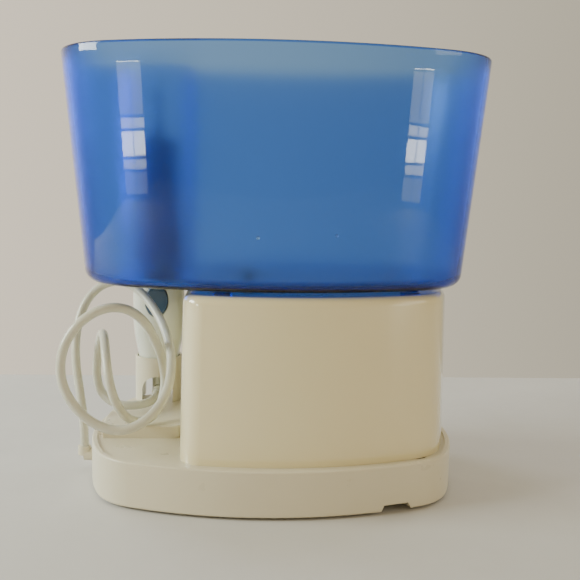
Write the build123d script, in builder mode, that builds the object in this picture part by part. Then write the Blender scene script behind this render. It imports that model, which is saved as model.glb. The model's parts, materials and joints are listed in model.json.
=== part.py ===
from build123d import *
import os
from math import cos, pi, radians, sin, sqrt, tan

# Countertop water flosser. Millimetres, +Z up, origin on the table under the middle of the base.
# -X is the handle's end, -Y is the plain rear and +Y is the front with the controls.

# Driving dimensions
BASE_HALF_X = 93.5
BASE_HALF_Y = 67.0
BASE_CORNER = 30.0
BASE_BOTTOM = 1.2
LEDGE_TOP = 22.5
RIM_TOP = 23.6
RIM_WIDTH = 2.6
DECK_TOP = 29.0
WALL = 2.4

HOUSING_LEFT = -45.5
HOUSING_HALF_X = 89.2
HOUSING_HALF_Y = 58.0
HOUSING_CENTRE_Y = -1.0
HOUSING_TOP = 102.0
HOUSING_TAPER = 1.0
HOUSING_CORNER = 27.0
HOUSING_EDGE = 12.0
HOUSING_ROUND = 4.0
HOUSING_WALL = 2.2

TANK_FOOT = 102.3
TANK_BOTTOM = 104.0
TANK_TOP = 215.0
TANK_BOTTOM_HALF = (96.0, 58.0)
TANK_TOP_HALF = (106.5, 65.0)
TANK_WALL = 2.2
TANK_FLOOR = 2.4

HANDLE_X = -64.0
HANDLE_Y = 41.0
HANDLE_BOTTOM = 46.0
HANDLE_TOP = 163.0
HANDLE_WALL = 1.8
HANDLE_PROFILE = ((10.6, 0.0), (11.4, 8.0), (13.6, 20.0), (14.5, 36.0), (14.0, 60.0), (12.6, 90.0), (11.2, 117.0))
CHANNEL_RADIUS = 17.5
BUTTON_Z = 87.4
BUTTON_HALF_X, BUTTON_HALF_Z, BUTTON_GAP = 6.2, 8.9, 0.4

SOCKET_X = -14.0
SOCKET_RADIUS = 11.0
HOSE_DIAMETER = 4.6
HOSE_BORE = 2.6
NIPPLE_RADIUS, TUBE_BORE, TUBE_RADIUS = 3.0, 3.05, 4.2

GEAR_X, GEAR_Z = 28.0, 60.0
GEAR_TEETH, PINION_TEETH = 44, 11
GEAR_SPACING = 27.9
MESH_ANGLE = -25.0
CRANK_THROW = 6.0
ROD_LENGTH = 32.0
PISTON_Y = -10.3
PISTON_RADIUS = 6.95
MOTOR_RADIUS = 17.0

DIAL_X, DIAL_Z = -4.0, 60.0
DIAL_RADIUS = 17.5
FRONT_Y = HOUSING_CENTRE_Y + HOUSING_HALF_Y
SWITCH_X, SWITCH_Y, SWITCH_Z = 48.0, 46.0, 80.0
SWITCH_TURN = radians(15.2)
ROCKER_TILT = radians(7.0)

OVAL_SWEEP = radians(22)

os.makedirs("parts", exist_ok=True)


def level(z):
    """The horizontal plane at height z."""
    return Plane.XY.offset(z)


def facing_back(y):
    """The upright plane at y whose normal is -Y: its own axes are X and Z."""
    return Plane.XZ.offset(-y)


def facing_right(x):
    """The upright plane at x whose normal is +X: its own axes are Y and Z."""
    return Plane.YZ.offset(x)


def into_switch(depth):
    """The upright plane across the switch, its normal pointing into the housing, depth inside the rocker's pin."""
    s, c = sin(SWITCH_TURN), cos(SWITCH_TURN)
    origin = (SWITCH_X - s * depth, SWITCH_Y - c * depth, SWITCH_Z)
    return Plane(origin=origin, x_dir=(c, -s, 0), z_dir=(-s, -c, 0))


def disc(plane, u, v, radius, length, mode=Mode.ADD):
    """A round bar that grows from the plane along its normal."""
    with BuildSketch(plane) as section:
        with Locations((u, v)):
            Circle(radius)
    extrude(section.sketch, amount=length, mode=mode)


def block(plane, u, v, width, height, length, mode=Mode.ADD, corner=0.0):
    """A rectangular bar, its corners rounded if a radius is given."""
    with BuildSketch(plane) as section:
        with Locations((u, v)):
            if corner:
                RectangleRounded(width, height, corner)
            else:
                Rectangle(width, height)
    extrude(section.sketch, amount=length, mode=mode)


def oval(half_x, half_y, corner, centre_y=0.0):
    """An oval of eight tangent arcs: two long sides, two ends and four corners between them."""
    s, c = sin(OVAL_SWEEP), cos(OVAL_SWEEP)
    spare_x = half_x - corner * (c - s)
    spare_y = half_y - corner * (c - s)
    share = s * s - (1 - c) ** 2
    side = (spare_x * s - spare_y * (1 - c)) / share
    end = (spare_y * s - spare_x * (1 - c)) / share
    ax, ay = side * s, half_y - side * (1 - c)
    bx, by = half_x - end * (1 - c), end * s
    mx = ax + corner * (sqrt(0.5) - s)
    my = by + corner * (sqrt(0.5) - s)
    ring = [(-ax, ay), (0, half_y), (ax, ay), (mx, my), (bx, by), (half_x, 0), (bx, -by), (mx, -my)]
    ring += [(-x, -y) for x, y in ring]
    points = [(x, y + centre_y) for x, y in ring]
    with BuildLine() as outline:
        for i in range(0, len(points), 2):
            ThreePointArc(points[i], points[i + 1], points[(i + 2) % len(points)])
    make_face(outline.edges())


def housing_outline(plan, inset, z):
    """The housing's plan at height z: an oval cut straight across at the handle's side, with small corners."""
    shrink = inset + tan(radians(HOUSING_TAPER)) * (z - LEDGE_TOP)
    oval(HOUSING_HALF_X - shrink, HOUSING_HALF_Y - shrink, HOUSING_CORNER - shrink, HOUSING_CENTRE_Y)
    with Locations((HOUSING_LEFT + shrink + 100, 0)):
        Rectangle(200, 200, mode=Mode.INTERSECT)
    fillet(plan.vertices().sort_by(Axis.X)[:2], HOUSING_EDGE - inset)


def screw(x, y, head_z, length, head_radius=2.6, shank_radius=1.35):
    """A pan-head screw driven up from below, with a cross recess."""
    disc(level(head_z), x, y, head_radius, 1.6)
    disc(level(head_z + 1.6), x, y, shank_radius, length)
    for width, height in ((2.6, 0.7), (0.7, 2.6)):
        block(level(head_z), x, y, width, height, 0.9, Mode.SUBTRACT)


def teeth(x, z, count, root, tip, back_y, thickness, bore, phase=0.0):
    """A spur gear about an axis along Y."""
    disc(facing_back(back_y), x, z, root, thickness)
    middle = (root + tip) / 2 - 0.2
    with BuildSketch(facing_back(back_y)) as section:
        with Locations((x, z)):
            with PolarLocations(middle, count, start_angle=phase):
                Rectangle(tip - root + 0.4, 1.25)
    extrude(section.sketch, amount=thickness)
    disc(facing_back(back_y), x, z, bore, thickness, Mode.SUBTRACT)


def save(name, built):
    """Label one finished piece and write its STEP file."""
    built.part.label = name
    export_step(built.part, f"parts/{name}.step")


# Base tray: the oval foot with a thin rim, the flat ledge inside it and the raised deck for the handle
BOSSES = [(-66, -34, LEDGE_TOP), (-66, 30, DECK_TOP), (84, -22, LEDGE_TOP), (84, 22, LEDGE_TOP)]
HOUSING_SCREWS = [(-39.4, -49.0), (-39.4, 47.0), (73.8, -36.1), (73.8, 34.1)]
NOTCH_X, NOTCH_TOP = 57.5, 4.6
OUTLET_X, OUTLET_Y, OUTLET_Z, OUTLET_TOP = -99.5, 2.0, 8.4, 13.0
with BuildPart() as base_tray:
    with BuildSketch(level(BASE_BOTTOM)):
        oval(BASE_HALF_X, BASE_HALF_Y, BASE_CORNER)
    extrude(amount=RIM_TOP - BASE_BOTTOM)
    fillet(base_tray.edges().group_by(Axis.Z)[-1], 1.0)
    fillet(base_tray.edges().group_by(Axis.Z)[0], 1.2)
    with BuildSketch(level(LEDGE_TOP)):
        oval(BASE_HALF_X - RIM_WIDTH, BASE_HALF_Y - RIM_WIDTH, BASE_CORNER - RIM_WIDTH)
    extrude(amount=RIM_TOP - LEDGE_TOP, mode=Mode.SUBTRACT)
    with BuildSketch(level(LEDGE_TOP)):
        oval(BASE_HALF_X - 5.5, BASE_HALF_Y - 5.5, BASE_CORNER - 5.5)
        with Locations((-71, 19.5)):
            RectangleRounded(50, 69, 6, mode=Mode.INTERSECT)
    extrude(amount=DECK_TOP - LEDGE_TOP)
    fillet(base_tray.edges().group_by(Axis.Z)[-1], 1.0)
    with BuildSketch(level(BASE_BOTTOM)):
        oval(BASE_HALF_X - WALL, BASE_HALF_Y - WALL, BASE_CORNER - WALL)
    extrude(amount=LEDGE_TOP - WALL - BASE_BOTTOM, mode=Mode.SUBTRACT)
    block(level(LEDGE_TOP - WALL), 20, -1, 112, 90, 2 * WALL, Mode.SUBTRACT, corner=8)
    block(level(LEDGE_TOP - WALL), -36.5, -10, 13, 14, 2 * WALL, Mode.SUBTRACT, corner=3)
    block(level(LEDGE_TOP - WALL - 1), -66, 11.5, 26, 45, DECK_TOP - LEDGE_TOP + 1, Mode.SUBTRACT, corner=8)
    for x, y, top in BOSSES:
        disc(level(4.0), x, y, 4.0, top - WALL - 3.5)
        disc(level(4.0), x, y, 1.4, 12.0, Mode.SUBTRACT)
    for x, y in HOUSING_SCREWS:
        disc(level(LEDGE_TOP - WALL), x, y, 1.6, WALL, Mode.SUBTRACT)
    with BuildSketch(facing_back(-48)):
        with Locations((NOTCH_X, 0)):
            Trapezoid(21.0, 2 * NOTCH_TOP, 64)
    extrude(amount=20, mode=Mode.SUBTRACT)
    disc(facing_right(-BASE_HALF_X - 2), OUTLET_Y, OUTLET_Z, 3.5, 6, Mode.SUBTRACT)
save("base_tray", base_tray)

# Bottom cover: a flat plate that closes the tray, with posts for the pump's rubber mounts
MOUNT_POINTS = [(-22, -21), (60, -21), (-22, 32), (60, 32)]
FEET = [(-56, -46), (-56, 46), (64, -41), (64, 41)]
with BuildPart() as bottom_cover:
    with BuildSketch(level(1.6)):
        oval(BASE_HALF_X - WALL - 0.4, BASE_HALF_Y - WALL - 0.4, BASE_CORNER - WALL - 0.4)
    extrude(amount=2.2)
    for x, y in MOUNT_POINTS:
        disc(level(3.6), x, y, 5.0, 16.4)
        disc(level(12.0), x, y, 1.4, 8.0, Mode.SUBTRACT)
    for x, y, _ in BOSSES:
        disc(level(1.6), x, y, 2.9, 1.0, Mode.SUBTRACT)
        disc(level(1.6), x, y, 1.6, 2.2, Mode.SUBTRACT)
    for x, y in FEET:
        disc(level(1.6), x, y, 6.2, 1.0, Mode.SUBTRACT)
    with BuildSketch(level(1.6)):
        with GridLocations(6, 0, 9, 1):
            SlotOverall(22, 2.2, rotation=90)
    extrude(amount=2.2, mode=Mode.SUBTRACT)
    block(level(1.6), NOTCH_X, -58, 13, 16, 2.2, Mode.SUBTRACT, corner=2)
save("bottom_cover", bottom_cover)

with BuildPart() as cover_screws:
    for x, y, _ in BOSSES:
        screw(x, y, 1.0, 9.0)
save("cover_screws", cover_screws)

with BuildPart() as housing_screws:
    for x, y in HOUSING_SCREWS:
        screw(x, y, LEDGE_TOP - WALL - 1.6, 9.0)
save("housing_screws", housing_screws)

with BuildPart() as rubber_feet:
    for x, y in FEET:
        with BuildSketch(level(0)):
            with Locations((x, y)):
                Circle(6.0)
        extrude(amount=2.6)
    fillet(rubber_feet.edges().group_by(Axis.Z)[0], 0.6)
save("rubber_feet", rubber_feet)

# Mains cord gland, just inside the notch in the base's rear edge
with BuildPart() as cord_gland:
    disc(facing_back(-50), NOTCH_X, 9.5, 5.0, 3.0)
    disc(facing_back(-53), NOTCH_X, 9.5, 3.9, 1.2)
    disc(facing_back(-50), NOTCH_X, 9.5, 2.2, 7.0, Mode.SUBTRACT)
    block(facing_back(-48), NOTCH_X, 6.5, 16, 5.4, 2.0)
    disc(facing_back(-48), NOTCH_X, 9.5, 2.2, 2.0, Mode.SUBTRACT)
save("cord_gland", cord_gland)

# Housing: the glossy shell over the pump, with the reservoir's socket, the dial's recess and the switch opening
with BuildPart() as housing_hollow:
    for z in (LEDGE_TOP, HOUSING_TOP - HOUSING_WALL):
        with BuildSketch(level(z)) as plan:
            housing_outline(plan, HOUSING_WALL, z)
    loft(ruled=True)

with BuildPart() as housing:
    for z in (LEDGE_TOP, HOUSING_TOP):
        with BuildSketch(level(z)) as plan:
            housing_outline(plan, 0.0, z)
    loft(ruled=True)
    fillet(housing.edges().group_by(Axis.Z)[-1], HOUSING_ROUND)
    add(housing_hollow.part, mode=Mode.SUBTRACT)
    disc(level(90.0), SOCKET_X, 0, SOCKET_RADIUS + 2.2, HOUSING_TOP - 90.0)
    disc(level(91.6), SOCKET_X, 0, SOCKET_RADIUS, HOUSING_TOP - 91.6, Mode.SUBTRACT)
    disc(level(85.6), SOCKET_X, 0, NIPPLE_RADIUS, 6.0)
    disc(level(85.6), SOCKET_X, 0, 1.6, 6.0, Mode.SUBTRACT)
    block(level(90.2), SOCKET_X, 0, 9.0, 1.6, 1.6)
    disc(level(91.6), SOCKET_X, 0, 1.4, 98.7 - 91.6)
    disc(facing_back(FRONT_Y + 1), DIAL_X, DIAL_Z, DIAL_RADIUS + 1.2, 4.4, Mode.SUBTRACT)
    disc(facing_back(FRONT_Y - 3.4), DIAL_X, DIAL_Z, DIAL_RADIUS + 3.4, 2.0)
    disc(facing_back(FRONT_Y), DIAL_X, DIAL_Z, 3.3, 8.0, Mode.SUBTRACT)
    block(into_switch(-8), 0, 0, 25.0, 17.0, 16.0, Mode.SUBTRACT)
    for x, y in HOUSING_SCREWS:
        disc(level(LEDGE_TOP), x, y, 3.6, 12.0)
        disc(level(LEDGE_TOP), x, y, 1.4, 10.0, Mode.SUBTRACT)
save("housing", housing)

# Handle cradle: a cup on two pillars, with an arch right through under the cup for the hose
CUP_LOW, CUP_SEAT, CUP_TOP = 44.0, 45.7, 54.5
with BuildPart() as handle_cradle:
    disc(level(DECK_TOP), HANDLE_X, HANDLE_Y, 13.3, CUP_TOP - DECK_TOP)
    disc(level(DECK_TOP), HANDLE_X, HANDLE_Y, 9.8, CUP_TOP - DECK_TOP, Mode.SUBTRACT)
    disc(level(CUP_SEAT), HANDLE_X, HANDLE_Y, 12.0, CUP_TOP - CUP_SEAT, Mode.SUBTRACT)
    with BuildSketch(facing_back(HANDLE_Y + 20)):
        with Locations((HANDLE_X, CUP_LOW - 8.5)):
            Circle(8.5)
        with Locations((HANDLE_X, (DECK_TOP + CUP_LOW - 8.5) / 2)):
            Rectangle(17.0, CUP_LOW - 8.5 - DECK_TOP)
    extrude(amount=40, mode=Mode.SUBTRACT)
    chamfer(handle_cradle.edges().group_by(Axis.Z)[-1], 0.5)
save("handle_cradle", handle_cradle)

# Hose outlet: an elbow through the base's left wall
with BuildPart() as hose_outlet:
    disc(facing_right(OUTLET_X), OUTLET_Y, OUTLET_Z, 3.4, 8.9)
    disc(facing_right(OUTLET_X), OUTLET_Y, OUTLET_Z, NIPPLE_RADIUS, 17.0)
    disc(facing_right(-BASE_HALF_X - 1.6), OUTLET_Y, OUTLET_Z, 4.4, 1.5)
    disc(level(OUTLET_Z), OUTLET_X, OUTLET_Y, 3.4, OUTLET_TOP - OUTLET_Z)
    disc(level(OUTLET_Z), OUTLET_X, OUTLET_Y, HOSE_BORE / 2, OUTLET_TOP - OUTLET_Z, Mode.SUBTRACT)
    disc(facing_right(OUTLET_X), OUTLET_Y, OUTLET_Z, HOSE_BORE / 2, 17.0, Mode.SUBTRACT)
save("hose_outlet", hose_outlet)

# Reservoir: a tapered open tank with an upright channel for the handle and a spigot under its floor
TANK_FEET = [(-26, -34), (66, -28), (-26, 34), (66, 28)]
with BuildPart() as tank_hollow:
    with BuildSketch(level(TANK_BOTTOM + TANK_FLOOR)):
        oval(TANK_BOTTOM_HALF[0] - TANK_WALL, TANK_BOTTOM_HALF[1] - TANK_WALL, 40 - TANK_WALL)
    with BuildSketch(level(TANK_TOP + 1)):
        oval(TANK_TOP_HALF[0] - TANK_WALL, TANK_TOP_HALF[1] - TANK_WALL, 45 - TANK_WALL)
    loft(ruled=True)
    fillet(tank_hollow.edges().group_by(Axis.Z)[0], 4.0)
    recess = CHANNEL_RADIUS + TANK_WALL
    disc(level(TANK_BOTTOM), HANDLE_X, HANDLE_Y, recess, 120, Mode.SUBTRACT)
    block(level(TANK_BOTTOM), HANDLE_X, HANDLE_Y + 20, 2 * recess, 40, 120, Mode.SUBTRACT)

with BuildPart() as reservoir:
    with BuildSketch(level(TANK_BOTTOM)):
        oval(*TANK_BOTTOM_HALF, 40)
    with BuildSketch(level(TANK_TOP)):
        oval(*TANK_TOP_HALF, 45)
    loft(ruled=True)
    fillet(reservoir.edges().group_by(Axis.Z)[0], 5.0)
    disc(level(TANK_BOTTOM), HANDLE_X, HANDLE_Y, CHANNEL_RADIUS, 120, Mode.SUBTRACT)
    block(level(TANK_BOTTOM), HANDLE_X, HANDLE_Y + 20, 2 * CHANNEL_RADIUS, 40, 120, Mode.SUBTRACT)
    add(tank_hollow.part, mode=Mode.SUBTRACT)
    for x, y in TANK_FEET:
        disc(level(TANK_FOOT), x, y, 5.0, TANK_BOTTOM - TANK_FOOT + 1)
    disc(level(94.0), SOCKET_X, 0, 9.0, TANK_BOTTOM - 93.0)
    disc(level(99.0), SOCKET_X, 0, 10.6, 0.8)
    disc(level(95.6), SOCKET_X, 0, 6.0, 12.0, Mode.SUBTRACT)
    disc(level(93.0), SOCKET_X, 0, 4.0, 4.0, Mode.SUBTRACT)
    block(level(TANK_BOTTOM), SOCKET_X, 0, 13.0, 4.6, 2.0)
    disc(level(TANK_BOTTOM), SOCKET_X, 0, 1.75, 2.0, Mode.SUBTRACT)
save("reservoir", reservoir)

with BuildPart() as spigot_seal:
    with BuildSketch(Plane(origin=(SOCKET_X, 0, 0), x_dir=(1, 0, 0), z_dir=(0, -1, 0))):
        with Locations((9.85, 97.6)):
            Circle(0.84)
    revolve(axis=Axis((SOCKET_X, 0, 0), (0, 0, 1)))
save("spigot_seal", spigot_seal)

with BuildPart() as reservoir_valve:
    disc(level(99.0), SOCKET_X, 0, 5.3, 1.6)
    disc(level(100.6), SOCKET_X, 0, 1.68, 9.4)
    disc(level(109.0), SOCKET_X, 0, 2.6, 1.0)
save("reservoir_valve", reservoir_valve)

with BuildPart() as valve_spring:
    with BuildLine():
        coil = Helix(pitch=1.0, height=2.6, radius=3.4, center=(SOCKET_X, 0, 101.0))
    with BuildSketch(Plane(origin=coil @ 0, z_dir=coil % 0)):
        Circle(0.25)
    sweep()
save("valve_spring", valve_spring)


# Handle: two half shells about an upright axis, the flow tube between them and the controls on them
def handle_half(arc_start):
    """Half of the hollow grip, drawn on its parting plane and turned through half a turn."""
    plane = Plane(origin=(HANDLE_X, HANDLE_Y, HANDLE_BOTTOM), x_dir=(arc_start, 0, 0), z_dir=(0, -arc_start, 0))
    height = HANDLE_TOP - HANDLE_BOTTOM
    inner = [(r - HANDLE_WALL, z) for r, z in HANDLE_PROFILE[1:-1]]
    inner_low = (HANDLE_PROFILE[0][0] - HANDLE_WALL, HANDLE_WALL)
    inner_high = (HANDLE_PROFILE[-1][0] - HANDLE_WALL, height - HANDLE_WALL)
    with BuildSketch(plane) as section:
        with BuildLine():
            Spline(*HANDLE_PROFILE)
            Polyline(HANDLE_PROFILE[-1], (4.6, height), (4.6, height - HANDLE_WALL), inner_high)
            Spline(inner_high, *reversed(inner), inner_low)
            Polyline(inner_low, (4.6, HANDLE_WALL), (4.6, 0), HANDLE_PROFILE[0])
        make_face()
    revolve(section.sketch, axis=Axis((HANDLE_X, HANDLE_Y, 0), (0, 0, 1)), revolution_arc=180)


with BuildPart() as handle_shell_rear:
    handle_half(-1)
    with BuildSketch(facing_back(HANDLE_Y - 5)):
        with Locations((HANDLE_X, BUTTON_Z)):
            Ellipse(BUTTON_HALF_X + BUTTON_GAP, BUTTON_HALF_Z + BUTTON_GAP)
    extrude(amount=15, mode=Mode.SUBTRACT)
save("handle_shell_rear", handle_shell_rear)

EJECT_Z = 147.0
with BuildPart() as handle_shell_front:
    handle_half(1)
    with BuildSketch(facing_back(HANDLE_Y + 20)):
        with Locations((HANDLE_X, EJECT_Z)):
            Ellipse(4.6, 6.4)
    extrude(amount=15, mode=Mode.SUBTRACT)
save("handle_shell_front", handle_shell_front)

with BuildPart() as handle_button:
    with BuildSketch(facing_back(HANDLE_Y - 10.4)):
        with Locations((HANDLE_X, BUTTON_Z)):
            Ellipse(BUTTON_HALF_X, BUTTON_HALF_Z)
    extrude(amount=4.9)
    fillet(handle_button.edges().group_by(Axis.Y)[0], 1.2)
    with BuildSketch(facing_right(HANDLE_X - 10)):
        with Locations((HANDLE_Y - 15.3 - 24.4, BUTTON_Z)):
            Circle(25.0)
    extrude(amount=20, mode=Mode.SUBTRACT)
    disc(facing_back(HANDLE_Y - 5.2), HANDLE_X, BUTTON_Z, 2.0, 5.4)
save("handle_button", handle_button)

with BuildPart() as eject_button:
    with BuildSketch(facing_back(HANDLE_Y + 12.6)):
        with Locations((HANDLE_X, EJECT_Z)):
            Ellipse(4.3, 6.1)
    extrude(amount=5.4)
    fillet(eject_button.edges().group_by(Axis.Y)[-1], 0.8)
save("eject_button", eject_button)

with BuildPart() as handle_tube:
    disc(level(50.5), HANDLE_X, HANDLE_Y, 3.0, 110.0)
    disc(level(50.5), HANDLE_X, HANDLE_Y, 1.8, 110.0, Mode.SUBTRACT)
save("handle_tube", handle_tube)

# Hose connector: an elbow under the handle whose barb points back through the cradle's arch
CONNECTOR_Z = 34.5
CONNECTOR_REACH = 9.0
with BuildPart() as hose_connector:
    disc(level(CONNECTOR_Z - 3.9), HANDLE_X, HANDLE_Y, 3.9, 46.0 - CONNECTOR_Z + 3.9)
    disc(level(46.0), HANDLE_X, HANDLE_Y, 4.5, 4.4)
    disc(facing_back(HANDLE_Y), HANDLE_X, CONNECTOR_Z, 3.2, CONNECTOR_REACH)
    disc(facing_back(HANDLE_Y), HANDLE_X, CONNECTOR_Z, HOSE_BORE / 2, CONNECTOR_REACH, Mode.SUBTRACT)
    disc(level(CONNECTOR_Z), HANDLE_X, HANDLE_Y, HOSE_BORE / 2, 16.0, Mode.SUBTRACT)
save("hose_connector", hose_connector)

# Tip knob and jet tip: they turn together on the handle's top
KNOB_LOW, KNOB_TOP = HANDLE_TOP + 0.3, HANDLE_TOP + 13.0
with BuildPart() as tip_knob:
    disc(level(KNOB_LOW), HANDLE_X, HANDLE_Y, 10.8, KNOB_TOP - KNOB_LOW)
    fillet(tip_knob.edges().group_by(Axis.Z)[-1], 2.0)
    with BuildSketch(level(KNOB_LOW)):
        with Locations((HANDLE_X, HANDLE_Y)):
            with PolarLocations(11.2, 18):
                Circle(0.9)
    extrude(amount=KNOB_TOP - KNOB_LOW - 3.0, mode=Mode.SUBTRACT)
    disc(level(KNOB_LOW), HANDLE_X, HANDLE_Y, 2.6, KNOB_TOP - KNOB_LOW, Mode.SUBTRACT)
save("tip_knob", tip_knob)

with BuildPart() as jet_tip:
    with BuildLine():
        FilletPolyline(
            (HANDLE_X, HANDLE_Y, KNOB_LOW + 1),
            (HANDLE_X, HANDLE_Y, 203),
            (HANDLE_X, HANDLE_Y + 8.5, 206.5),
            radius=5.0,
        )
    with BuildSketch(level(KNOB_LOW + 1)):
        with Locations((HANDLE_X, HANDLE_Y)):
            Circle(1.9)
            Circle(0.9, mode=Mode.SUBTRACT)
    sweep()
    disc(level(KNOB_TOP + 0.2), HANDLE_X, HANDLE_Y, 4.4, 2.0)
    disc(level(KNOB_TOP + 5.2), HANDLE_X, HANDLE_Y, 3.4, 1.4)
    disc(level(KNOB_TOP), HANDLE_X, HANDLE_Y, 0.9, 8.0, Mode.SUBTRACT)
save("jet_tip", jet_tip)

with BuildPart() as tip_ring:
    disc(level(KNOB_TOP + 2.4), HANDLE_X, HANDLE_Y, 4.0, 2.6)
    disc(level(KNOB_TOP + 2.4), HANDLE_X, HANDLE_Y, 1.95, 2.6, Mode.SUBTRACT)
save("tip_ring", tip_ring)

# Pressure dial on the front, its spool and the valve body behind it
DIAL_BACK = FRONT_Y - 3.1
with BuildPart() as pressure_dial:
    disc(facing_back(DIAL_BACK + 7.0), DIAL_X, DIAL_Z, DIAL_RADIUS, 7.0)
    chamfer(pressure_dial.edges().group_by(Axis.Y)[-1], 1.2)
    with BuildSketch(facing_back(DIAL_BACK + 7.0)):
        with Locations((DIAL_X, DIAL_Z)):
            with PolarLocations(DIAL_RADIUS + 0.6, 30):
                Circle(1.0)
    extrude(amount=6.0, mode=Mode.SUBTRACT)
    with BuildSketch(facing_back(DIAL_BACK + 12.4)):
        with Locations((DIAL_X, DIAL_Z)):
            SlotOverall(27.0, 6.4, rotation=90)
    extrude(amount=6.4)
    disc(facing_back(DIAL_BACK), DIAL_X, DIAL_Z, 3.0, 6.0)
save("pressure_dial", pressure_dial)

with BuildPart() as valve_spool:
    disc(facing_back(DIAL_BACK - 6.0), DIAL_X, DIAL_Z, 4.0, 9.0)
    block(facing_back(DIAL_BACK - 9.0), DIAL_X, DIAL_Z, 10.0, 1.6, 3.0, Mode.SUBTRACT)
save("valve_spool", valve_spool)

VALVE_FRONT = FRONT_Y - 5.4
VALVE_Y = VALVE_FRONT - 8.0
VALVE_LEFT = DIAL_X - 17.0
BYPASS_Z = (DIAL_Z - 6.0, DIAL_Z + 6.0)
with BuildPart() as pressure_valve:
    block(facing_back(VALVE_FRONT), DIAL_X, DIAL_Z, 20.0, 24.0, 14.3, corner=2.0)
    for z in BYPASS_Z:
        disc(facing_right(VALVE_LEFT), VALVE_Y, z, NIPPLE_RADIUS, 8.0)
        disc(facing_right(VALVE_LEFT), VALVE_Y, z, 1.5, 16.0, Mode.SUBTRACT)
    disc(facing_back(VALVE_FRONT), DIAL_X, DIAL_Z, 4.06, 13.0, Mode.SUBTRACT)
save("pressure_valve", pressure_valve)

# Power switch: a bezel square to the curved front and a rocker on a cross pin, modelled at "off"
with BuildPart() as switch_bezel:
    block(into_switch(-6.6), 0, 0, 29.0, 21.0, 2.4, corner=2.5)
    block(into_switch(-4.2), 0, 0, 24.6, 16.6, 14.0)
    block(into_switch(-6.6), 0, 0, 21.0, 13.6, 15.0, Mode.SUBTRACT)
    across = into_switch(0).x_dir
    pin_start = Vector(SWITCH_X, SWITCH_Y, SWITCH_Z) - across * 12.2
    disc(Plane(origin=pin_start, z_dir=across), 0, 0, 1.2, 24.4)
save("switch_bezel", switch_bezel)

with BuildPart() as power_rocker:
    outward = into_switch(0).z_dir * -1
    leaning = outward * cos(ROCKER_TILT) + Vector(0, 0, sin(ROCKER_TILT))
    rocker_start = Vector(SWITCH_X, SWITCH_Y, SWITCH_Z) - across * 10.1
    with BuildSketch(Plane(origin=rocker_start, x_dir=leaning, z_dir=across)):
        with BuildLine():
            Polyline((7.6, -5.6), (6.4, 0), (7.6, 5.6), (-2.5, 5.2), (-4.5, 0), (-2.5, -5.2), close=True)
        make_face()
        Circle(1.26, mode=Mode.SUBTRACT)
    extrude(amount=20.2)
save("power_rocker", power_rocker)

# Pump unit on rubber mounts: frame, motor, gears, slider crank, cylinder and valve head
BOARD_POSTS = [(-21, 7), (-7, 7), (-21, 25), (-7, 25)]
with BuildPart() as rubber_mounts:
    for x, y in MOUNT_POINTS:
        disc(level(20.0), x, y, 6.0, 2.6)
        disc(level(22.6), x, y, 4.0, 1.8)
        disc(level(24.4), x, y, 6.0, 2.6)
        disc(level(20.0), x, y, 1.8, 7.0, Mode.SUBTRACT)
save("rubber_mounts", rubber_mounts)

with BuildPart() as mount_screws:
    for x, y in MOUNT_POINTS:
        disc(level(30.0), x, y, 2.6, 1.4)
        disc(level(14.0), x, y, 1.35, 16.0)
save("mount_screws", mount_screws)

MOTOR_X = GEAR_X + GEAR_SPACING * cos(radians(MESH_ANGLE))
MOTOR_Z = GEAR_Z + GEAR_SPACING * sin(radians(MESH_ANGLE))
FRAME_FRONT, FRAME_BACK = 8.5, 4.5
FRAME_TOP = 30.0
with BuildPart() as pump_frame:
    block(level(FRAME_TOP - 3), 19, 6, 98, 68, 3.0, corner=6)
    block(facing_back(FRAME_FRONT), 34, 55, 68, 56, FRAME_FRONT - FRAME_BACK, corner=5)
    for x in (2.0, 30.0):
        block(level(FRAME_TOP), x, 17, 3.0, 18, 26.0)
    block(level(FRAME_TOP), -20, PISTON_Y, 14, 16, 22.0)
    disc(facing_right(-30), PISTON_Y, GEAR_Z, 10.05, 24, Mode.SUBTRACT)
    disc(facing_back(FRAME_FRONT), GEAR_X, GEAR_Z, 3.0, 4.0, Mode.SUBTRACT)
    disc(facing_back(FRAME_FRONT), MOTOR_X, MOTOR_Z, 7.2, 4.0, Mode.SUBTRACT)
    for x, y in BOARD_POSTS:
        disc(level(FRAME_TOP), x, y, 2.0, 4.0)
    for x, y in MOUNT_POINTS:
        disc(level(FRAME_TOP - 3), x, y, 1.8, 3.0, Mode.SUBTRACT)
save("pump_frame", pump_frame)

with BuildPart() as motor:
    disc(facing_back(FRAME_FRONT + 30), MOTOR_X, MOTOR_Z, MOTOR_RADIUS, 30)
    fillet(motor.edges().group_by(Axis.Y)[-1], 2.0)
    disc(facing_back(FRAME_FRONT), MOTOR_X, MOTOR_Z, 7.0, 3.0)
    disc(facing_back(FRAME_FRONT + 33), MOTOR_X, MOTOR_Z, 4.5, 3.0)
    disc(facing_back(FRAME_FRONT + 12), MOTOR_X, MOTOR_Z, 1.7, 16.0, Mode.SUBTRACT)
save("motor", motor)

with BuildPart() as motor_pinion:
    teeth(MOTOR_X, MOTOR_Z, PINION_TEETH, 4.2, 6.2, 3.0, 7.0, 1.5, phase=MESH_ANGLE)
    disc(facing_back(FRAME_FRONT + 10), MOTOR_X, MOTOR_Z, 1.6, FRAME_FRONT + 14)
save("motor_pinion", motor_pinion)

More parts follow.
